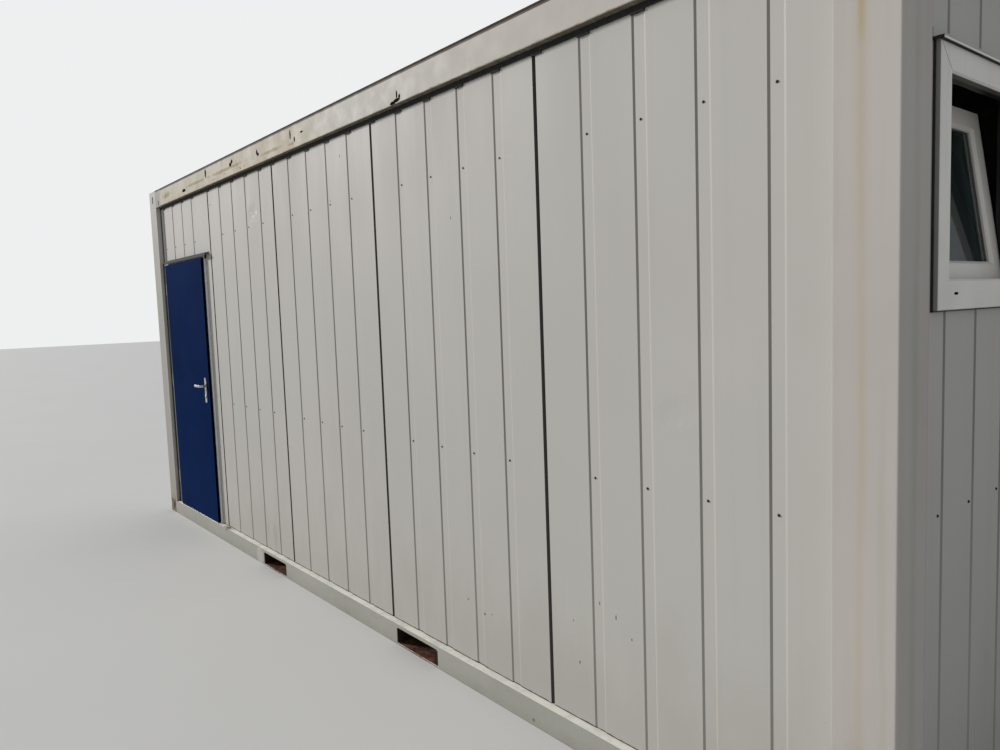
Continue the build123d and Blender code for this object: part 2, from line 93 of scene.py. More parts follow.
# Marks seen on the front: middles and reaches, in metres
FRONT_FACE = -HALF_WIDTH
FRONT_WALL = -HALF_WIDTH + WALL_FACE
THROUGH = 0.02
RAIL_SMEARS = [
    ((-1.86, FRONT_FACE, 2.592), (0.34, THROUGH, 0.016)),
    ((-1.25, FRONT_FACE, 2.590), (0.42, THROUGH, 0.014)),
    ((-0.52, FRONT_FACE, 2.578), (0.20, THROUGH, 0.013)),
    ((-0.234, FRONT_FACE, 2.567), (0.05, THROUGH, 0.012)),
    ((-2.55, FRONT_FACE, 2.600), (0.16, THROUGH, 0.03)),
]
RAIL_SCRAPES = [
    ((-2.119, FRONT_FACE, 2.576), (0.040, THROUGH, 0.011)),
    ((-1.635, FRONT_FACE, 2.626), (0.014, THROUGH, 0.028)),
    ((-1.160, FRONT_FACE, 2.608), (0.020, THROUGH, 0.012)),
    ((-1.132, FRONT_FACE, 2.622), (0.016, THROUGH, 0.012)),
    ((-0.716, FRONT_FACE, 2.606), (0.012, THROUGH, 0.016)),
    ((-0.700, FRONT_FACE, 2.592), (0.011, THROUGH, 0.012)),
    ((-0.240, FRONT_FACE, 2.618), (0.008, THROUGH, 0.024)),
    ((-0.188, FRONT_FACE, 2.584), (0.008, THROUGH, 0.016)),
    ((-0.094, FRONT_FACE, 2.606), (0.018, THROUGH, 0.005)),
    ((0.838, FRONT_FACE, 2.548), (0.026, THROUGH, 0.008)),
    ((0.866, FRONT_FACE, 2.553), (0.024, THROUGH, 0.009)),
    ((0.872, FRONT_FACE, 2.574), (0.006, THROUGH, 0.018)),
    ((0.893, FRONT_FACE, 2.564), (0.008, THROUGH, 0.012)),
]
SCRAPE_SPREAD = 1.15
RAIL_RUST = [
    ((-1.700, FRONT_FACE + 0.018, 0.104), (0.085, 0.03, 0.022)),
    ((-2.860, FRONT_FACE + 0.018, 0.104), (0.040, 0.03, 0.020)),
    ((1.660, FRONT_FACE, 0.022), (0.010, THROUGH, 0.008)),
    ((-0.828, FRONT_FACE, 0.002), (0.190, THROUGH, 0.009)),
    ((0.828, FRONT_FACE, 0.002), (0.190, THROUGH, 0.009)),
]
RAIL_DENTS = [
    ((1.730, FRONT_FACE, 0.073), (0.022, THROUGH, 0.010), 2.5),
    ((-0.180, FRONT_FACE, 0.098), (0.030, THROUGH, 0.008), 2.0),
]
WALL_NICKS = [
    ((-1.689, FRONT_WALL, 2.419), (0.012, THROUGH, 0.005)),
    ((0.250, FRONT_WALL, 2.422), (0.005, THROUGH, 0.010)),
    ((0.117, FRONT_WALL, 2.215), (0.005, THROUGH, 0.005)),
    ((1.324, FRONT_WALL, 0.340), (0.007, THROUGH, 0.006)),
    ((1.372, FRONT_WALL, 0.352), (0.004, THROUGH, 0.004)),
    ((2.071, FRONT_WALL, 0.546), (0.003, THROUGH, 0.011)),
    ((1.888, FRONT_WALL, 0.325), (0.004, THROUGH, 0.009)),
    ((1.208, FRONT_WALL, 0.373), (0.004, THROUGH, 0.007)),
    ((1.992, FRONT_WALL, 0.575), (0.003, THROUGH, 0.009)),
    ((1.860, FRONT_WALL, 0.474), (0.003, THROUGH, 0.005)),
    ((1.190, FRONT_WALL, 2.007), (0.003, THROUGH, 0.009)),
    ((2.141, FRONT_WALL, 0.490), (0.003, THROUGH, 0.005)),
]
WALL_DENTS = [
    ((-0.925, FRONT_WALL, 2.270), (0.10, 0.05, 0.07), 1.8),
    ((-1.000, FRONT_WALL, 2.420), (0.06, 0.05, 0.13), 0.9),
    ((2.340, FRONT_WALL, 1.280), (0.09, 0.05, 0.06), 0.8),
]
LIGHT_PATCH = [((-1.075, FRONT_FACE, 0.050), (0.055, THROUGH, 0.060))]
# A slot's dark opening near the far end, painted as shade.
RAIL_SLOT = ((-2.782, FRONT_FACE, 2.567), (0.016, THROUGH, 0.024))
RAIL_GREY_END = (-2.735, -2.715)
GREEN_SMEARS = [
    ((-0.88, FRONT_WALL, 0.20), (0.05, THROUGH, 0.16)),
    ((-0.99, FRONT_WALL, 0.25), (0.03, THROUGH, 0.10)),
]
BRIGHT_SCUFFS = [
    ((-0.955, FRONT_WALL, 2.277), (0.012, THROUGH, 0.009)),
    ((-0.872, FRONT_WALL, 2.270), (0.014, THROUGH, 0.014)),
    ((-0.925, FRONT_WALL, 2.254), (0.016, THROUGH, 0.007)),
]


def srgb(r, g, b):
    """A colour given as 0 to 255 display values, in linear light."""
    def linear(c):
        c = c / 255
        return c / 12.92 if c <= 0.04045 else ((c + 0.055) / 1.055) ** 2.4
    return (linear(r), linear(g), linear(b), 1.0)


class Material:
    """A node material built from small named steps."""

    def __init__(self, name):
        self.material = bpy.data.materials.new(name)
        self.material.use_nodes = True
        self.tree = self.material.node_tree
        self.shader = self.tree.nodes["Principled BSDF"]
        self.place = self.add("ShaderNodeTexCoord").outputs["Object"]

    def add(self, kind, **values):
        node = self.tree.nodes.new(kind)
        for key, value in values.items():
            setattr(node, key, value)
        return node

    def link(self, source, target):
        if isinstance(source, (int, float, tuple)):
            target.default_value = source
        else:
            self.tree.links.new(source, target)

    def noise(self, stretch=(1, 1, 1), scale=1.0, detail=4.0, rough=0.55, shift=(0, 0, 0)):
        mapping = self.add("ShaderNodeMapping")
        mapping.inputs["Scale"].default_value = stretch
        mapping.inputs["Location"].default_value = shift
        self.link(self.place, mapping.inputs["Vector"])
        node = self.add("ShaderNodeTexNoise")
        node.inputs["Scale"].default_value = scale
        node.inputs["Detail"].default_value = detail
        node.inputs["Roughness"].default_value = rough
        self.link(mapping.outputs["Vector"], node.inputs["Vector"])
        return node.outputs["Fac"]

    def cells(self, scale, shift=(0, 0, 0), stretch=(1, 1, 1)):
        mapping = self.add("ShaderNodeMapping")
        mapping.inputs["Location"].default_value = shift
        mapping.inputs["Scale"].default_value = stretch
        self.link(self.place, mapping.inputs["Vector"])
        node = self.add("ShaderNodeTexVoronoi")
        node.inputs["Scale"].default_value = scale
        self.link(mapping.outputs["Vector"], node.inputs["Vector"])
        return node

    def span(self, value, low, high, to_low=0.0, to_high=1.0):
        node = self.add("ShaderNodeMapRange", interpolation_type="SMOOTHSTEP")
        self.link(value, node.inputs["Value"])
        node.inputs["From Min"].default_value = low
        node.inputs["From Max"].default_value = high
        node.inputs["To Min"].default_value = to_low
        node.inputs["To Max"].default_value = to_high
        return node.outputs["Result"]

    def math(self, operation, a, b=0.5):
        node = self.add("ShaderNodeMath", operation=operation)
        self.link(a, node.inputs[0])
        self.link(b, node.inputs[1])
        return node.outputs["Value"]

    def axis(self, letter):
        node = self.add("ShaderNodeSeparateXYZ")
        self.link(self.place, node.inputs["Vector"])
        return node.outputs[letter]

    def mix(self, amount, a, b):
        node = self.add("ShaderNodeMix", data_type="RGBA")
        self.link(amount, node.inputs["Factor"])
        self.link(a, node.inputs[6])
        self.link(b, node.inputs[7])
        return node.outputs[2]

    def near(self, letter, middle, reach):
        """1 at a place along an axis, falling to 0 at reach from it."""
        gap = self.math("ABSOLUTE", self.math("SUBTRACT", self.axis(letter), middle))
        return self.span(gap, 0.0, reach, 1.0, 0.0)

    def blot(self, middle, reach, wobble=0.35, scale=30.0, soft=0.45):
        """1 inside an uneven oval round a place, given as (x, y, z) middle and reaches."""
        away = self.add("ShaderNodeMapping", vector_type="TEXTURE")
        away.inputs["Location"].default_value = middle
        away.inputs["Scale"].default_value = reach
        self.link(self.place, away.inputs["Vector"])
        length = self.add("ShaderNodeVectorMath", operation="LENGTH")
        self.link(away.outputs["Vector"], length.inputs[0])
        uneven = self.math("SUBTRACT", self.noise(scale=scale, detail=6, rough=0.7), 0.5)
        ragged = self.math("MULTIPLY", uneven, wobble * 4)
        return self.span(self.math("ADD", length.outputs["Value"], ragged), 1.0 - soft, 1.0, 1.0, 0.0)

    def stain(self, base, marks, colour, amount, wobble, scale, soft=0.45):
        """Lays a colour over a base inside each mark."""
        for middle, reach in marks:
            spot = self.blot(middle, reach, wobble, scale, soft)
            base = self.mix(self.math("MULTIPLY", spot, amount), base, colour)
        return base

    def dent(self, height, marks, wobble, scale):
        """Sinks a height inside each mark, by the mark's own depth."""
        for middle, reach, depth in marks:
            hollow = self.math("MULTIPLY", self.blot(middle, reach, wobble, scale, 0.9), depth)
            height = self.math("SUBTRACT", height, hollow)
        return height

    def pitted(self, grain, spots):
        """Fine paint grain, sunk where rust has eaten it."""
        return self.math("ADD", self.noise(scale=grain, detail=3), self.math("MULTIPLY", spots, -2.0))

    def mirror(self, level):
        """How strongly the surface mirrors its surroundings, 0.5 being bare plastic."""
        self.link(level, self.shader.inputs["Specular IOR Level"])

    def finish(self, colour, rough, height=None, strength=0.2, depth=0.001, round_edges=0.0):
        """Joins colour, roughness, bump and eased edges to the shader."""
        self.link(colour, self.shader.inputs["Base Color"])
        self.link(rough, self.shader.inputs["Roughness"])
        normal = None
        if round_edges:
            bevel = self.add("ShaderNodeBevel", samples=4)
            bevel.inputs["Radius"].default_value = round_edges
            normal = bevel.outputs["Normal"]
        if height is not None:
            bump = self.add("ShaderNodeBump")
            bump.inputs["Strength"].default_value = strength
            bump.inputs["Distance"].default_value = depth
            self.link(height, bump.inputs["Height"])
            if normal is not None:
                self.link(normal, bump.inputs["Normal"])
            normal = bump.outputs["Normal"]
        if normal is not None:
            self.link(normal, self.shader.inputs["Normal"])
        return self.material


def rust_patches(m, colour, amount=0.72, scale=6.0, shift=(0, 0, 0)):
    """Small rust spots with a darker heart, laid over a colour."""
    spots = m.span(m.noise(scale=scale, detail=8, rough=0.7, shift=shift), amount, amount + 0.06)
    tone = m.mix(m.noise(scale=60, detail=3), srgb(82, 52, 35), srgb(120, 80, 52))
    return m.mix(spots, colour, tone), spots


def facing(m, letter):
    """The face's own direction along an axis, -1 to 1."""
    split = m.add("ShaderNodeSeparateXYZ")
    m.link(m.add("ShaderNodeNewGeometry").outputs["True Normal"], split.inputs["Vector"])
    return split.outputs[letter]


def facing_on_body(m, letter):
    """The same in the piece's own frame, for a piece that turns with its body."""
    split = m.add("ShaderNodeSeparateXYZ")
    m.link(m.add("ShaderNodeTexCoord").outputs["Normal"], split.inputs["Vector"])
    return split.outputs[letter]


def sideways(m):
    """1 on faces that look along the wall's length, 0 on the others."""
    return m.span(m.math("ABSOLUTE", facing(m, "X")), 0.7, 0.9)


def behind_skin(m, letter, half):
    """1 on the room's side of a wall that stands at half from the middle."""
    return m.span(m.math("ABSOLUTE", m.axis(letter)), half - WALL_BACK - 0.0005,
                  half - WALL_BACK + 0.0015, 1.0, 0.0)


def wall_material():
    """Light grey coated sheet outside, white board inside, dust, splash marks and nicks; painted shade on
    the trough slopes, in the joint grooves and along the foot.
    """
    m = Material("wall_sheet")
    base = m.mix(m.span(m.noise(scale=0.9, detail=3), 0.3, 0.7), srgb(178, 175, 170), srgb(173, 169, 165))
    tint = m.span(m.noise(scale=0.7, detail=2, shift=(4, 2, 6)), 0.35, 0.65, 0.0, 0.5)
    base = m.mix(tint, base, srgb(173, 173, 166))
    streaks = m.span(m.noise(stretch=(16, 16, 0.4), detail=4, rough=0.55), 0.5, 0.85, 0.0, 0.16)
    base = m.mix(streaks, base, srgb(150, 147, 140))
    splash = m.span(m.math("ADD", m.axis("Z"), m.noise(stretch=(5, 5, 2), detail=6)), 0.5, 1.2, 0.55, 0.0)
    base = m.mix(m.math("MULTIPLY", splash, 0.5), base, srgb(140, 139, 128))
    base = m.stain(base, GREEN_SMEARS, srgb(112, 112, 92), 0.22, 0.35, 9, 0.95)
    base = m.stain(base, BRIGHT_SCUFFS, srgb(214, 212, 206), 0.7, 0.3, 60)
    across_x = m.math("ABSOLUTE", facing(m, "X"))
    across_y = m.math("ABSOLUTE", facing(m, "Y"))
    slope = m.math("MULTIPLY", m.span(across_x, 0.25, 0.34), m.span(across_y, 0.25, 0.34))
    groove = m.math("MULTIPLY", m.span(across_x, 0.45, 0.55), m.span(across_y, 0.45, 0.55))
    lee_front = m.math("MULTIPLY", m.span(facing(m, "X"), 0.0, 0.2), m.span(across_y, 0.6, 0.8))
    lee_end = m.math("MULTIPLY", m.span(facing(m, "Y"), -0.2, 0.0, 1.0, 0.0), m.span(across_x, 0.6, 0.8))
    # Trough slopes a little darker all round: partly dirt, partly painted shade.
    base = m.mix(m.math("MULTIPLY", slope, 0.25), base, srgb(130, 126, 118))
    # Painted shade on the lee slope of each trough, away from the sun, with streaky dirt in it, weaker
    # towards the bottom.
    grime_and_shade = m.math("MULTIPLY", slope, m.math("MAXIMUM", lee_front, lee_end))
    grime_and_shade = m.math("MULTIPLY", grime_and_shade, m.span(m.noise(stretch=(9, 9, 0.8), detail=4), 0.3, 0.7, 0.45, 0.7))
    grime_and_shade = m.math("MULTIPLY", grime_and_shade, m.span(m.axis("Z"), 0.3, 1.3, 0.45, 1.0))
    base = m.mix(grime_and_shade, base, srgb(96, 93, 88))
    # Painted shade in the grooves between panels.
    base = m.mix(m.math("MULTIPLY", groove, 0.85), base, srgb(58, 55, 52))
    # Painted shade in the gap along the wall's foot, over the ledge.
    foot = m.math("ADD", m.axis("Z"), m.math("MULTIPLY", m.noise(stretch=(22, 22, 4), detail=5), -0.009))
    base = m.mix(m.span(foot, PANEL_LOW.z - 0.001, PANEL_LOW.z + 0.001, 0.9, 0.0), base, srgb(46, 44, 40))
    dots = m.cells(55.0)
    nick = m.span(dots.outputs["Distance"], 0.04, 0.1, 1.0, 0.0)
    few = m.span(m.noise(scale=38, detail=1, shift=(7, 2, 4)), 0.7, 0.74)
    nick = m.math("MULTIPLY", nick, few)
    for middle, reach in WALL_NICKS:
        nick = m.math("MAXIMUM", nick, m.blot(middle, reach, 0.3, 90))
    base = m.mix(m.math("MULTIPLY", nick, 0.85), base, srgb(58, 55, 52))
    inside = m.math("MULTIPLY", behind_skin(m, "X", HALF_LENGTH), behind_skin(m, "Y", HALF_WIDTH))
    board = m.mix(m.noise(scale=2.0, detail=4), srgb(208, 206, 199), srgb(198, 195, 187))
    colour = m.mix(inside, base, board)
    waves = m.noise(stretch=(2.2, 2.2, 0.5), detail=2)
    fine = m.noise(scale=900, detail=2)
    height = m.math("ADD", m.math("MULTIPLY", waves, 0.5), m.math("MULTIPLY", fine, 0.02))
    height = m.math("SUBTRACT", height, m.math("MULTIPLY", nick, 0.12))
    height = m.dent(height, WALL_DENTS, 0.25, 14)
    rough = m.span(m.noise(stretch=(4, 4, 1), detail=5), 0.3, 0.7, 0.5, 0.62)
    m.mirror(0.06)
    return m.finish(colour, rough, height, 0.3, 0.006)


def steel_paint(name, light, dark, dirt, rust=0.70, ground=0.0, shift=(0, 0, 0)):
    """Painted steel profile: two tones, dirt, chips down to rust, optional ground splash and dust on upward
    faces, the dust partly painted light; without ground, painted light beside the door's right jamb.
    """
    m = Material(name)
    base = m.mix(m.span(m.noise(scale=1.7, detail=5, shift=shift), 0.32, 0.68), light, dark)
    grime_and_shade = m.span(m.noise(stretch=(3, 3, 9), detail=8, rough=0.68, shift=shift), 0.54, 0.74, 0.0, 0.4)
    base = m.mix(grime_and_shade, base, dirt)
    speck = m.span(m.noise(scale=70, detail=4, rough=0.7, shift=shift), 0.64, 0.76, 0.0, 0.4)
    base = m.mix(speck, base, dirt)
    if ground:
        wet = m.math("MULTIPLY", m.noise(stretch=(9, 9, 9), detail=6), 0.1)
        splash = m.span(m.math("ADD", m.axis("Z"), wet), 0.02, 0.12, ground, 0.0)
        base = m.mix(splash, base, srgb(122, 118, 104))
        # Upward faces lighter: partly dust, partly painted light for the light they catch from above.
        dust = m.math("MULTIPLY", m.span(facing(m, "Z"), 0.6, 0.9),
                      m.span(m.noise(scale=14, detail=6), 0.3, 0.6, 0.6, 0.95))
        base = m.mix(dust, base, srgb(232, 229, 219))
        base = m.stain(base, LIGHT_PATCH, srgb(176, 174, 166), 0.6, 0.1, 20, 0.15)
        base = m.stain(base, RAIL_RUST, srgb(104, 74, 50), 0.85, 0.5, 40, 0.7)
    else:
        # Painted light beside the door's right jamb, lifting the shadow the leaf casts there.
        beside = m.math("MULTIPLY", m.near("X", JAMB_LOW.x + 0.03, 0.06), m.near("Y", JAMB_LOW.y, 0.03))
        base = m.mix(beside, base, srgb(236, 235, 231))
    base, spots = rust_patches(m, base, rust, 9.0, shift)
    height = m.dent(m.pitted(240, spots), RAIL_DENTS, 0.2, 30)
    rough = m.math("ADD", m.span(m.noise(scale=12, detail=5), 0.3, 0.7, 0.48, 0.64),
                   m.math("MULTIPLY", spots, 0.25))
    m.mirror(0.12)
    return m.finish(base, rough, height, 0.3, 0.0006, 0.0025)


def top_rail_material():
    """Cream rail, with brown smears, scrapes and chips along the front one's far half, a dark lower edge
    that is partly painted shade, and painted shade under the roof's edge and in a slot.
    """
    m = Material("rail_cream_paint")
    base = m.mix(m.span(m.noise(scale=1.3, detail=5), 0.35, 0.65), srgb(183, 179, 173), srgb(178, 173, 166))
    tint = m.span(m.noise(scale=0.8, detail=3, shift=(2, 7, 1)), 0.35, 0.65, 0.0, 0.6)
    base = m.mix(tint, base, srgb(180, 176, 172))
    bloom = m.span(m.noise(stretch=(2.0, 2.0, 7), detail=9, rough=0.72), 0.5, 0.68, 0.0, 0.45)
    far = m.span(m.axis("X"), -0.3, 0.4, 1.0, 0.12)
    base = m.mix(m.math("MULTIPLY", far, 0.75), base, srgb(171, 163, 144))
    base = m.mix(m.math("MULTIPLY", bloom, far), base, srgb(150, 138, 110))
    drips = m.span(m.noise(stretch=(45, 45, 2.5), detail=5, shift=(1, 5, 0)), 0.6, 0.74, 0.0, 0.45)
    base = m.mix(m.math("MULTIPLY", drips, far), base, srgb(132, 120, 96))
    # Dark olive along the rail's lower edge: partly dirt, partly painted shade.
    ragged = m.math("MULTIPLY", m.noise(stretch=(30, 30, 60), detail=5), 0.012)
    foot = m.span(m.math("ADD", m.axis("Z"), ragged), RAIL_LOW.z + 0.005, RAIL_LOW.z + 0.014, 0.85, 0.0)
    base = m.mix(foot, base, srgb(80, 70, 52))
    low = m.span(m.axis("Z"), RAIL_LOW.z + 0.012, RAIL_LOW.z + 0.05, 1.0, 0.0)
    patchy = m.span(m.noise(stretch=(5, 5, 12), detail=7, rough=0.7), 0.42, 0.66, 0.0, 0.5)
    low = m.math("MULTIPLY", low, patchy)
    base = m.mix(m.math("MULTIPLY", low, far), base, srgb(150, 132, 92))
    base = m.stain(base, RAIL_SMEARS, srgb(122, 108, 74), 0.85, 0.5, 20, 0.8)
    scrape = 0.0
    for middle, reach in RAIL_SCRAPES:
        spread = [SCRAPE_SPREAD * r for r in reach]
        scrape = m.math("MAXIMUM", scrape, m.blot(middle, spread, 0.3, 70, 0.25))
    chips = m.span(m.noise(stretch=(26, 26, 60), detail=6, rough=0.7, shift=(8, 0, 2)), 0.57, 0.62)
    chips = m.math("MULTIPLY", chips, m.near("Z", RAIL_LOW.z + 0.022, 0.014))
    chips = m.math("MULTIPLY", chips, m.near("X", -0.95, 0.9))
    scrape = m.math("MAXIMUM", scrape, m.span(chips, 0.2, 0.4))
    base = m.mix(scrape, base, srgb(30, 22, 17))
    # Painted shade: a dark line along the rail's top, under the roof's edge.
    roof_edge_shade = m.span(m.axis("Z"), RAIL_HIGH.z - 0.009, RAIL_HIGH.z - 0.006)
    base = m.mix(m.math("MULTIPLY", roof_edge_shade, 0.9), base, srgb(60, 50, 43))
    end = m.span(m.axis("X"), *RAIL_GREY_END, 1.0, 0.0)
    base = m.mix(m.math("MULTIPLY", end, 0.85), base, srgb(142, 140, 136))
    # Painted shade for the slot's dark opening.
    base = m.mix(m.blot(*RAIL_SLOT, 0.05, 60, 0.15), base, srgb(34, 32, 30))
    base, spots = rust_patches(m, base, 0.72, 11.0, (4, 4, 1))
    height = m.math("SUBTRACT", m.pitted(200, spots), m.math("MULTIPLY", scrape, 0.5))
    rough = m.span(m.noise(scale=9, detail=4), 0.3, 0.7, 0.5, 0.66)
    m.mirror(m.span(scrape, 0.0, 1.0, 0.05, 0.0))
    return m.finish(base, rough, height, 0.3, 0.0006, 0.0025)


def post_material():
    """Grey post paint with a yellow-brown run down the near post and a green one beside it; painted shade on
    the far post and painted light on the posts' return faces.
    """
    m = Material("post_paint")
    base = m.mix(m.span(m.noise(scale=1.4, detail=5), 0.32, 0.68), srgb(177, 171, 165), srgb(170, 165, 159))
    base = m.mix(m.span(m.noise(stretch=(18, 18, 0.8), detail=6), 0.5, 0.8, 0.0, 0.25), base,
                 srgb(150, 146, 136))
    # Painted shade: the far post darker and greyer than the near one.
    far = m.span(m.axis("X"), -HALF_LENGTH + 0.1, -HALF_LENGTH + 0.3, 0.7, 0.0)
    base = m.mix(far, base, srgb(140, 138, 132))
    wobble = m.noise(stretch=(3, 3, 1.4), detail=3)
    run_x = m.math("ADD", HALF_LENGTH - BROWN_RUN, m.math("MULTIPLY", wobble, 0.02))
    away = m.math("ABSOLUTE", m.math("SUBTRACT", m.axis("X"), run_x))
    run = m.span(away, 0.001, 0.015, 1.0, 0.0)
    run = m.math("MULTIPLY", run, m.span(m.axis("Z"), *BROWN_RUN_FADE, 0.22, 0.8))
    run = m.math("MULTIPLY", run, m.span(m.noise(stretch=(30, 30, 3), detail=5), 0.3, 0.6, 0.5, 1.0))
    base = m.mix(run, base, srgb(164, 148, 98))
    halo = m.math("MULTIPLY", m.span(away, 0.0, 0.035, 0.25, 0.0), m.span(m.axis("Z"), 0.6, 2.4, 0.2, 1.0))
    base = m.mix(halo, base, srgb(160, 148, 126))
    green = m.near("X", HALF_LENGTH - GREEN_RUN, 0.022)
    green = m.math("MULTIPLY", green, m.span(m.noise(stretch=(20, 20, 1.2), detail=5), 0.4, 0.7, 0.0, 0.35))
    base = m.mix(green, base, srgb(150, 154, 134))
    band = m.near("Y", -HALF_WIDTH + GREEN_BAND, 0.03)
    band = m.math("MULTIPLY", band, m.span(m.noise(stretch=(20, 20, 1.2), detail=5), 0.3, 0.7, 0.2, 0.6))
    base = m.mix(band, base, srgb(150, 154, 138))
    # Painted light on the posts' return faces, lifting their shade.
    across = m.math("ABSOLUTE", m.axis("X"))
    back = m.math("MULTIPLY", m.span(across, POST_EDGE - 0.002, POST_EDGE + 0.001, 1.0, 0.0), sideways(m))
    base = m.mix(m.math("MULTIPLY", back, 0.95), base, srgb(243, 242, 238))
    splash = m.span(m.math("ADD", m.axis("Z"), m.noise(stretch=(8, 8, 4), detail=6)), 0.55, 1.05, 0.45, 0.0)
    base = m.mix(splash, base, srgb(140, 136, 122))
    stain = m.math("MULTIPLY", m.span(m.axis("Z"), 0.11, 0.16, 0.6, 0.0),
                   m.span(m.noise(scale=30, detail=5), 0.35, 0.6))
    base = m.mix(stain, base, srgb(98, 80, 66))
    base, spots = rust_patches(m, base, 0.74, 7.0, (2, 6, 3))
    rough = m.span(m.noise(scale=10, detail=4), 0.3, 0.7, 0.48, 0.62)
    m.mirror(0.1)
    return m.finish(base, rough, m.pitted(220, spots), 0.25, 0.0006, 0.006)


def door_material():
    """Deep blue coated steel, faint dust towards the foot, painted shade on its side edges."""
    m = Material("door_blue_coat")
    base = m.mix(m.span(m.noise(scale=1.2, detail=3), 0.3, 0.7), srgb(11, 33, 74), srgb(8, 26, 60))
    dust = m.span(m.math("ADD", m.axis("Z"), m.noise(stretch=(6, 6, 2), detail=6)), 0.45, 1.3, 0.03, 0.0)
    base = m.mix(dust, base, srgb(70, 78, 88))
    marks = m.span(m.noise(stretch=(60, 60, 3), detail=4, shift=(2, 0, 5)), 0.68, 0.76, 0.0, 0.12)
    base = m.mix(marks, base, srgb(34, 54, 92))
    rim = m.math("MULTIPLY", m.near("X", LEAF_LOW.x, 0.016), m.span(m.axis("Z"), 0.9, 1.6, 0.7, 0.15))
    base = m.mix(rim, base, srgb(150, 152, 150))
    # Painted shade on the leaf's side edges.
    edge = m.span(m.math("ABSOLUTE", facing_on_body(m, "X")), 0.7, 0.9)
    base = m.mix(edge, base, srgb(10, 12, 18))
    waves = m.math("ADD", m.noise(stretch=(3, 3, 1), detail=2), m.math("MULTIPLY", m.noise(scale=700), 0.03))
    rough = m.span(m.noise(scale=5, detail=5), 0.3, 0.7, 0.5, 0.6)
    m.mirror(0.002)
    return m.finish(base, rough, waves, 0.3, 0.004)


def drip_material():
    """Moulding over the door: grey lip, black on its upward slope, painted shade along its lower edge and on
    its end faces.
    """
    m = Material("door_drip_dark_and_shaded")
    lip = m.mix(m.noise(stretch=(20, 20, 40), detail=5), srgb(70, 74, 82), srgb(54, 58, 64))
    base = m.mix(m.span(facing(m, "Z"), 0.1, 0.4), lip, srgb(30, 29, 29))
    # Painted shade along the lip's lower edge.
    low = m.span(m.axis("Z"), DRIP_LOW.z + 0.004, DRIP_LOW.z + 0.008, 1.0, 0.0)
    base = m.mix(low, base, srgb(18, 18, 19))
    # Painted shade on the moulding's end faces.
    base = m.mix(sideways(m), base, srgb(52, 54, 50))
    m.mirror(0.05)
    return m.finish(base, 0.7, m.noise(scale=200, detail=3), 0.3, 0.0005)


def window_frame_material():
    """White PVC frame, faintly streaked, with painted shade on its outer side face, on its downward faces
    and deep inside the opening, and a drain slot painted dark as shade.
    """
    m = Material("pvc_white_frame")
    base = m.mix(m.span(m.noise(scale=3, detail=5), 0.3, 0.7), srgb(219, 214, 207), srgb(208, 203, 195))
    streak = m.span(m.noise(stretch=(40, 40, 2), detail=4), 0.55, 0.8, 0.0, 0.2)
    base = m.mix(streak, base, srgb(170, 168, 160))
    # Painted shade on the frame's outer side face.
    side = m.math("MULTIPLY", m.near("Y", WINDOW_LOW.y, 0.003), m.span(facing(m, "Y"), -0.9, -0.7, 1.0, 0.0))
    base = m.mix(side, base, srgb(138, 137, 130))
    # Painted shade on the frame's downward faces.
    under = m.math("MULTIPLY", m.span(facing(m, "Z"), -0.9, -0.7, 1.0, 0.0),
                   m.span(m.axis("Z"), WINDOW_LOW.z + 0.1, WINDOW_LOW.z + 0.2))
    base = m.mix(under, base, srgb(104, 104, 102))
    # Painted shade deep inside the opening.
    depth = m.math("SUBTRACT", WINDOW_HIGH.x, m.axis("X"))
    deep = m.math("MULTIPLY", m.span(depth, 0.022, 0.024),
                  m.span(m.axis("Y"), WINDOW_LOW.y + 0.04, WINDOW_LOW.y + 0.05))
    base = m.mix(deep, base, srgb(24, 24, 25))
    # A drain slot's dark opening, painted as shade.
    slot = m.math("MULTIPLY", m.span(depth, 0.0012, 0.0016),
                  m.span(m.axis("Z"), WINDOW_LOW.z + 0.052, WINDOW_LOW.z + 0.053, 1.0, 0.0))
    slot = m.math("MULTIPLY", slot, m.span(m.axis("Z"), WINDOW_LOW.z + 0.034, WINDOW_LOW.z + 0.036))
    slot = m.math("MULTIPLY", slot, m.span(m.axis("Y"), WINDOW_LOW.y + 0.05, WINDOW_LOW.y + 0.06))
    base = m.mix(slot, base, srgb(16, 16, 16))
    return m.finish(base, m.span(m.noise(scale=9, detail=4), 0.3, 0.7, 0.34, 0.46),
                    m.noise(scale=500, detail=2), 0.05, 0.0004, 0.002)


def flashing_material():
    """Coated strip over the window: wall grey, with a painted highlight along its outer edge."""
    m = Material("flashing_coated")
    base = m.mix(m.span(m.noise(scale=6, detail=4), 0.3, 0.7), srgb(180, 178, 173), srgb(171, 168, 163))
    # Painted highlight along the strip's outer edge.
    edge = m.near("X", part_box("window_flashing")[1].x, 0.006)
    base = m.mix(m.math("MULTIPLY", edge, 0.9), base, srgb(232, 231, 226))
    m.mirror(0.1)
    return m.finish(base, 0.65, m.noise(scale=400, detail=2), 0.1, 0.0004)


def plain_material(name, light, dark, low_rough, high_rough, scale=4.0, grain=400.0, metal=0.0,
                   round_edges=0.0, bump=0.15):
    """Two close tones with fine grain, for plastics, rubber and bare metal."""
    m = Material(name)
    base = m.mix(m.span(m.noise(scale=scale, detail=5), 0.3, 0.7), light, dark)
    rough = m.span(m.noise(scale=scale * 3, detail=4), 0.3, 0.7, low_rough, high_rough)
    m.shader.inputs["Metallic"].default_value = metal
    return m.finish(base, rough, m.noise(scale=grain, detail=2), bump, 0.0004, round_edges)


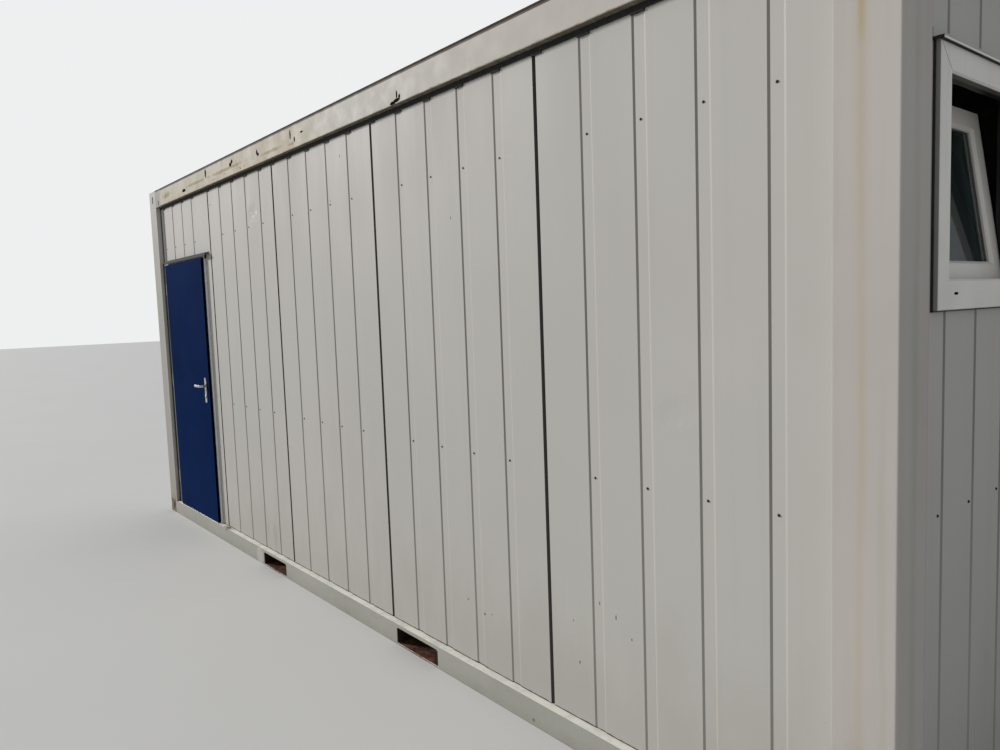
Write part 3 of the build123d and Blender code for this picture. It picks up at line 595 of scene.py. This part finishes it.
def galvanised_material():
    """Spangled zinc with white bloom and dirt settled in patches."""
    m = Material("galvanised_sheet")
    spangle = m.cells(90.0).outputs["Color"]
    base = m.mix(m.span(spangle, 0.2, 0.8), srgb(150, 153, 154), srgb(172, 174, 174))
    dirt = m.span(m.noise(scale=1.6, detail=7, rough=0.65), 0.45, 0.7, 0.0, 0.7)
    base = m.mix(dirt, base, srgb(120, 116, 102))
    m.shader.inputs["Metallic"].default_value = 0.6
    return m.finish(base, m.span(m.noise(scale=20, detail=4), 0.3, 0.7, 0.42, 0.62),
                    m.noise(scale=60, detail=4), 0.15, 0.0006)


def rusty_material():
    """Dark brown rusted plate inside the fork pockets, reddish on the floor."""
    m = Material("tunnel_rusted")
    crust = m.span(m.noise(scale=9, detail=8, rough=0.7), 0.35, 0.65)
    base = m.mix(crust, srgb(58, 44, 36), srgb(36, 30, 27))
    floor = m.math("MULTIPLY", m.span(facing(m, "Z"), 0.5, 0.9),
                   m.span(m.noise(stretch=(16, 30, 16), detail=8, rough=0.75), 0.4, 0.62))
    base = m.mix(floor, base, srgb(112, 74, 54))
    m.mirror(0.1)
    return m.finish(base, 0.85, m.noise(scale=120, detail=6), 0.5, 0.001)


def casting_material():
    """Cast corner block: dark rusted steel under worn paint."""
    m = Material("casting_worn")
    base = m.mix(m.span(m.noise(scale=14, detail=7, rough=0.65), 0.4, 0.62), srgb(112, 102, 88),
                 srgb(86, 74, 60))
    base, spots = rust_patches(m, base, 0.56, 12.0)
    m.mirror(0.25)
    return m.finish(base, m.span(m.noise(scale=18), 0.3, 0.7, 0.6, 0.82),
                    m.noise(scale=90, detail=6), 0.5, 0.0012, 0.004)


def edge_material():
    """Dark brown weathered metal of the roof's edge."""
    m = Material("roof_edge_dark")
    base = m.mix(m.span(m.noise(scale=11, detail=7), 0.35, 0.65), srgb(40, 33, 29), srgb(58, 49, 41))
    m.mirror(0.05)
    return m.finish(base, 0.75, m.noise(scale=150, detail=4), 0.3, 0.0006)


def timber_material():
    """Sawn softwood, with its grain along the cabin's width."""
    m = Material("timber_sawn")
    grain = m.noise(stretch=(60, 3, 60), detail=6)
    base = m.mix(m.span(grain, 0.3, 0.7), srgb(190, 152, 104), srgb(156, 116, 74))
    return m.finish(base, 0.75, grain, 0.3, 0.0008)


def vinyl_material():
    """Flecked grey floor covering, scuffed in patches."""
    m = Material("floor_vinyl_flecked")
    fleck = m.cells(320.0).outputs["Color"]
    base = m.mix(m.span(fleck, 0.3, 0.9), srgb(124, 126, 124), srgb(150, 150, 146))
    scuff = m.span(m.noise(scale=3, detail=6), 0.5, 0.75, 0.0, 0.4)
    base = m.mix(scuff, base, srgb(110, 106, 98))
    return m.finish(base, m.span(m.noise(scale=5), 0.3, 0.7, 0.35, 0.55), fleck, 0.05, 0.0003)


def glass_material():
    """Double glazing: clear, faintly green, with a light film of dust."""
    m = Material("window_glass_film")
    film = m.span(m.noise(stretch=(6, 6, 3), detail=6), 0.4, 0.75, 0.04, 0.2)
    m.shader.inputs["Transmission Weight"].default_value = 0.94
    m.shader.inputs["IOR"].default_value = 1.25
    m.mirror(0.3)
    base = m.mix(film, srgb(120, 138, 138), srgb(96, 106, 104))
    return m.finish(base, m.span(m.noise(scale=4, detail=4), 0.3, 0.7, 0.02, 0.08))


MATERIALS = {
    "wall_white": wall_material(),
    "frame_grey": steel_paint("frame_paint", srgb(157, 156, 148), srgb(149, 149, 141),
                              srgb(126, 122, 110), 0.72, 0.35),
    "post": post_material(),
    "rail_cream": top_rail_material(),
    "door_blue": door_material(),
    "door_frame_grey": steel_paint("door_frame_paint", srgb(178, 177, 172), srgb(166, 165, 160),
                                   srgb(130, 126, 114), 0.76, 0.0, (5, 0, 2)),
    "casting_brown": casting_material(),
    "galvanised": galvanised_material(),
    "tunnel_rust": rusty_material(),
    "edge_dark": edge_material(),
    "floor_vinyl": vinyl_material(),
    "ceiling_white": plain_material("ceiling_board", srgb(226, 225, 220), srgb(218, 217, 211), 0.6, 0.75),
    "timber": timber_material(),
    "foam_black": plain_material("foam_dark", srgb(26, 26, 26), srgb(38, 37, 35), 0.85, 0.95, 30, 300,
                                 bump=0.6),
    "pvc_white": plain_material("pvc_white_profile", srgb(219, 214, 207), srgb(207, 202, 193), 0.3, 0.42,
                                3, 500, round_edges=0.0025, bump=0.05),
    "clear_glass": glass_material(),
    "bright_steel": plain_material("steel_brushed", srgb(190, 190, 188), srgb(168, 168, 165), 0.25, 0.38,
                                   20, 900, 1.0, 0.001),
    "aluminium": plain_material("aluminium_worn", srgb(176, 176, 174), srgb(150, 148, 142), 0.35, 0.55,
                                14, 700, 1.0, 0.001),
    "screw_dark": plain_material("screw_dull", srgb(34, 32, 30), srgb(22, 21, 20), 0.5, 0.7, 40, 600, 0.2),
    "drip": drip_material(),
    "window_frame": window_frame_material(),
    "flashing": flashing_material(),
    # Black for seals, and for the dark pieces that are painted shade.
    "gasket_and_shade": plain_material("gasket_and_shade_black", srgb(22, 22, 22), srgb(32, 31, 30), 0.55, 0.7, 20, 400),
}

# Materials of nodes that don't take their slot's, by the start of their names
OWN_MATERIALS = {
    "corner_post": "post",
    "top_corner_castings": "post",
    "door_drip": "drip",
    "window_frame": "window_frame",
    "window_flashing": "flashing",
}


def dress_nodes():
    """Gives each CAD node the material of its slot, or its own."""
    for part in frame["record"]["subparts"]:
        name = part["node"]
        material = part["material_slot"]
        for start, own in OWN_MATERIALS.items():
            if name.startswith(start):
                material = own
        mesh = nodes[name].data
        mesh.materials.clear()
        mesh.materials.append(MATERIALS[material])


def make_piece(name, bm, material, body="cabin"):
    """A piece from a bmesh in the cabin's frame, riding on a body."""
    bmesh.ops.recalc_face_normals(bm, faces=bm.faces)
    mesh = bpy.data.meshes.new(name)
    bm.to_mesh(mesh)
    bm.free()
    mesh.materials.append(MATERIALS[material])
    piece = bpy.data.objects.new(name, mesh)
    bpy.context.scene.collection.objects.link(piece)
    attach(piece, body)
    return piece


def add_block(bm, matrix, low, high, bevel=0.0):
    """A block between two corners, given in a wall's plane, optionally with eased edges."""
    middle = [(a + b) / 2 for a, b in zip(low, high)]
    size = [b - a for a, b in zip(low, high)]
    made = bmesh.ops.create_cube(bm, size=1.0)["verts"]
    local = Matrix.Translation(middle) @ Matrix.Diagonal((*size, 1.0))
    bmesh.ops.transform(bm, matrix=matrix @ local, verts=made)
    if bevel:
        edges = list({e for v in made for e in v.link_edges})
        bmesh.ops.bevel(bm, geom=edges, offset=bevel, segments=2, profile=0.6, affect="EDGES")


def add_dome(bm, matrix, u, w, z, radius, rise, sides=12):
    """A round screw head with a flat washer, standing outwards from the wall plane at w."""
    rings = []
    profile = [(radius * 1.5, 0.0), (radius * 1.5, rise * 0.25), (radius, rise * 0.3),
               (radius * 0.92, rise * 0.8), (radius * 0.55, rise)]
    for r, out in profile:
        ring = []
        for k in range(sides):
            angle = 2 * math.pi * k / sides
            point = Vector((u + r * math.cos(angle), w - out, z + r * math.sin(angle)))
            ring.append(bm.verts.new(matrix @ point))
        rings.append(ring)
    for inner, outer in zip(rings[:-1], rings[1:]):
        for k in range(sides):
            n = (k + 1) % sides
            bm.faces.new((inner[k], inner[n], outer[n], outer[k]))
    bm.faces.new(rings[-1])


def wall_span(node, side):
    """A panel's two edges along its own wall, in the wall's u direction."""
    low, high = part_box(node)
    inverse = PLACES[side].inverted()
    a = (inverse @ low).x
    b = (inverse @ high).x
    return min(a, b), max(a, b)


def troughs_of(side):
    """(u, lowest z) of each trough on a wall."""
    margin = TROUGH_WIDTH / 2 + 0.004
    found = []
    if side in ("front", "back"):
        for name in sorted(n for n in nodes if n.startswith(side + "_panel_")):
            u0, u1 = wall_span(name, side)
            for i in range(4):
                u = u0 + FIRST_TROUGH + TROUGH_PITCH * i
                if u0 + margin < u < u1 - margin:
                    found.append((u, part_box(name)[0].z))
    if side == "front":
        u0, u1 = wall_span("door_head_panel", side)
        for i in range(4):
            u = u1 - HEAD_LAST_TROUGH - TROUGH_PITCH * i
            if u0 + margin < u < u1 - margin:
                found.append((u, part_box("door_head_panel")[0].z))
    if side in ("left", "right"):
        for i in range(4):
            u = END_FIRST_TROUGH + END_TROUGH_PITCH * i
            found += [(u, PANEL_LOW.z), (-u, PANEL_LOW.z)]
    return found


def in_window(side, u, z, margin=0.03):
    """Whether a place on a wall lies in the window or close round it."""
    inside_u = WINDOW_LOW.y - margin < u < WINDOW_HIGH.y + margin
    inside_z = WINDOW_LOW.z - margin < z < WINDOW_HIGH.z + margin
    return side == "right" and inside_u and inside_z


def wall_screws():
    """One screw at two heights in each trough, standing on the trough's floor."""
    bm = bmesh.new()
    floor = WALL_FACE + TROUGH_DEPTH
    for side, matrix in PLACES.items():
        for u, low in troughs_of(side):
            for z in SCREW_HEIGHTS:
                if z > low and not in_window(side, u, z):
                    add_dome(bm, matrix, u, floor, z, SCREW_RADIUS, SCREW_RISE)
    make_piece("wall_screws", bm, "screw_dark")


def panel_joints(side):
    """Where two panels meet on a wall."""
    names = [n for n in nodes if n.startswith(side + "_panel_") or n.startswith(side + "_end_panel_")]
    limit = POST_EDGE if side in ("front", "back") else END_POST_EDGE
    edges = sorted({round(wall_span(n, side)[0], 4) for n in names})
    return [u for u in edges if abs(u) < limit - GROOVE_WIDTH]


def foam_blocks():
    """Black foam plugs over the troughs and the joints under the top rail."""
    bm = bmesh.new()
    drop = 0.0245
    proud = 0.007
    gap = 0.0005
    joint_gap = 0.0004
    joint_lap = 0.009
    edge_round = 0.0015
    half = TROUGH_WIDTH / 2
    for side, matrix in PLACES.items():
        spans = [(u - half, u + half, WALL_FACE + TROUGH_DEPTH - gap) for u, _ in troughs_of(side)]
        spans += [(u - joint_lap, u + half * 1.6, WALL_FACE - joint_gap) for u in panel_joints(side)]
        for u0, u1, behind in spans:
            low = (u0, WALL_FACE - proud, RAIL_LOW.z - drop)
            high = (u1, behind, RAIL_LOW.z - gap)
            add_block(bm, matrix, low, high, edge_round)
    make_piece("trough_foam", bm, "foam_black")


def corner_gaps():
    """Black seal strip in the corner between the door's post and the wall, thin at the others; partly seal,
    partly painted shade in the gap.
    """
    bm = bmesh.new()
    sunk = 0.001
    end_gap = 0.0004
    edge_round = 0.001
    jamb_strip_width = 0.036
    jamb_strip_depth = 0.003
    head_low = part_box("door_head_panel")[0].z
    for side, matrix in PLACES.items():
        edge = POST_EDGE if side in ("front", "back") else END_POST_EDGE
        for way in (-1, 1):
            wide = side == "front" and way < 0
            width = 0.007 if wide else 0.004
            thick = 0.005 if wide else 0.003
            u0, u1 = sorted((way * (edge - SIDE_GAP), way * (edge - width)))
            low = (u0, WALL_FACE - thick, head_low if wide else PANEL_LOW.z)
            high = (u1, WALL_FACE + sunk, RAIL_LOW.z - end_gap)
            add_block(bm, matrix, low, high, edge_round)
    # A dark strip on the left jamb beside the post: partly seal, partly painted shade.
    jamb_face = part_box("door_jamb_left")[0].y + HALF_WIDTH
    low = (-POST_EDGE + SIDE_GAP, jamb_face - jamb_strip_depth, PANEL_LOW.z + end_gap)
    high = (-POST_EDGE + jamb_strip_width, jamb_face - FACE_GAP, head_low)
    add_block(bm, PLACES["front"], low, high, edge_round)
    make_piece("corner_gaps", bm, "gasket_and_shade")


def mitre_line(bm, matrix, corner, inner):
    """A thin dark sliver along a mitre joint, between two points on the frame's face."""
    half = 0.0005
    deep = Vector((0, 0.0012, 0))
    across = Vector((inner.z - corner.z, 0, corner.x - inner.x)).normalized() * half
    points = [corner - across, corner + across, inner + across, inner - across]
    outer = [bm.verts.new(matrix @ p) for p in points]
    back = [bm.verts.new(matrix @ (p + deep)) for p in points]
    bm.faces.new(outer)
    bm.faces.new(reversed(back))
    for k in range(4):
        n = (k + 1) % 4
        bm.faces.new((outer[k], back[k], back[n], outer[n]))


def window_lines():
    """Dark lines round the frame, on its top edge and beside the flashing, and its mitre joints. The lines
    at the sides and bottom are partly seal, partly painted shade in the gap; the line on the top edge and
    the block beside the flashing are painted shade.
    """
    bm = bmesh.new()
    matrix = PLACES["right"]
    u0, u1 = WINDOW_LOW.y, WINDOW_HIGH.y
    z0, z1 = WINDOW_LOW.z, WINDOW_HIGH.z
    face = HALF_LENGTH - WINDOW_HIGH.x
    seal = 0.004
    front, behind = WALL_FACE - 0.006, WALL_FACE - FACE_GAP
    # Side and bottom lines: partly seal, partly painted shade in the gap.
    add_block(bm, matrix, (u0 - seal, front, z0 - seal), (u0 - SIDE_GAP, behind, z1))
    add_block(bm, matrix, (u1 + SIDE_GAP, front, z0 - seal), (u1 + seal, behind, z1))
    add_block(bm, matrix, (u0 - seal, front, z0 - seal), (u1 + seal, behind, z0 - SIDE_GAP))
    # Painted shade: a dark line along the frame's top edge, under the flashing.
    add_block(bm, matrix, (u0 - seal, face - seal, z1 - seal), (u1 + seal, face - SIDE_GAP, z1 - SIDE_GAP))
    # Painted shade: a dark block beside the flashing's end.
    flashing_low, flashing_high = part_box("window_flashing")
    shade_low = (flashing_low.y - 0.0025, HALF_LENGTH - flashing_high.x + 0.001, flashing_low.z - 0.001)
    shade_high = (flashing_low.y - FACE_GAP, behind, flashing_low.z + 0.007)
    add_block(bm, matrix, shade_low, shade_high)
    line_start = 0.004
    line_end = WINDOW_STILE - 0.006
    for u, way in ((u0, 1), (u1, -1)):
        corner = Vector((u + way * line_start, face - FACE_GAP, z1 - line_start))
        inner = Vector((u + way * line_end, face - FACE_GAP, z1 - line_end))
        mitre_line(bm, matrix, corner, inner)
    make_piece("window_lines", bm, "gasket_and_shade")


def joint_seals():
    """Dark bead at the bottom of the groove between two panels."""
    bm = bmesh.new()
    half = 0.0022
    thick = 0.0035
    bottom = WALL_FACE + GROOVE_DEPTH
    for side in PLACES:
        for u in panel_joints(side):
            low = (u - half, bottom - thick, PANEL_LOW.z)
            high = (u + half, bottom + FACE_GAP, PANEL_HIGH.z)
            add_block(bm, PLACES[side], low, high)
    make_piece("joint_seals", bm, "gasket_and_shade")


def camera():
    """The photograph's viewpoint, from a fit of the frame's edges in it."""
    place = Vector((3.8384, -3.0889, 1.6245))
    heading = 0.89078
    down = 0.08645
    roll = -0.0355
    focal_length = 27.71
    level_reach = math.cos(down)
    forward = Vector((-math.sin(heading) * level_reach, math.cos(heading) * level_reach, -math.sin(down)))
    level = Vector((math.cos(heading), math.sin(heading), 0))
    upright = level.cross(forward)
    right = level * math.cos(roll) + upright * math.sin(roll)
    up = upright * math.cos(roll) - level * math.sin(roll)
    data = bpy.data.cameras.new("camera")
    data.lens = focal_length
    data.sensor_width = 36.0
    data.clip_start = 0.05
    data.clip_end = 200
    item = bpy.data.objects.new("camera", data)
    item.matrix_world = Matrix((
        (right.x, up.x, -forward.x, place.x),
        (right.y, up.y, -forward.y, place.y),
        (right.z, up.z, -forward.z, place.z),
        (0, 0, 0, 1),
    ))
    bpy.context.scene.collection.objects.link(item)
    bpy.context.scene.camera = item


def soft_sun(towards, angle, strength, tint):
    """Sunlight through thin cloud, coming from the direction towards."""
    data = bpy.data.lights.new("key", "SUN")
    data.angle = angle
    data.energy = strength
    data.color = tint
    item = bpy.data.objects.new("key", data)
    item.rotation_mode = "QUATERNION"
    item.rotation_quaternion = Vector(towards).to_track_quat("Z", "Y")
    bpy.context.scene.collection.objects.link(item)


def studio():
    """Pale floor, even world light with a pale background, a soft sun from the front left."""
    sky_tint = (0.89, 0.945, 1.0, 1)
    sky_strength = 0.49
    backdrop_tint = (0.86, 0.865, 0.87, 1)
    sun_side = (-0.84, -0.42, 0.32)
    world = bpy.data.worlds.new("studio")
    bpy.context.scene.world = world
    world.use_nodes = True
    tree = world.node_tree
    tree.nodes.clear()
    output = tree.nodes.new("ShaderNodeOutputWorld")
    mixer = tree.nodes.new("ShaderNodeMixShader")
    soft = tree.nodes.new("ShaderNodeBackground")
    soft.inputs["Color"].default_value = sky_tint
    soft.inputs["Strength"].default_value = sky_strength
    pale = tree.nodes.new("ShaderNodeBackground")
    pale.inputs["Color"].default_value = backdrop_tint
    pale.inputs["Strength"].default_value = 1.0
    path = tree.nodes.new("ShaderNodeLightPath")
    tree.links.new(path.outputs["Is Camera Ray"], mixer.inputs["Fac"])
    tree.links.new(soft.outputs["Background"], mixer.inputs[1])
    tree.links.new(pale.outputs["Background"], mixer.inputs[2])
    tree.links.new(mixer.outputs["Shader"], output.inputs["Surface"])
    soft_sun(sun_side, angle=0.14, strength=3.5, tint=(1.0, 0.97, 0.94))

    bm = bmesh.new()
    bmesh.ops.create_grid(bm, x_segments=1, y_segments=1, size=60)
    mesh = bpy.data.meshes.new("studio_floor")
    bm.to_mesh(mesh)
    bm.free()
    ground = Material("floor_pale")
    tone = ground.mix(ground.noise(scale=0.6, detail=4), srgb(206, 205, 202), srgb(200, 199, 196))
    mesh.materials.append(ground.finish(tone, 0.9, ground.noise(scale=60, detail=3), 0.1, 0.001))
    floor = bpy.data.objects.new("studio_floor", mesh)
    floor.location = (0, 0, -0.0005)
    bpy.context.scene.collection.objects.link(floor)
    bpy.context.scene.view_settings.view_transform = "Standard"


dress_nodes()
wall_screws()
foam_blocks()
joint_seals()
corner_gaps()
window_lines()
camera()
studio()
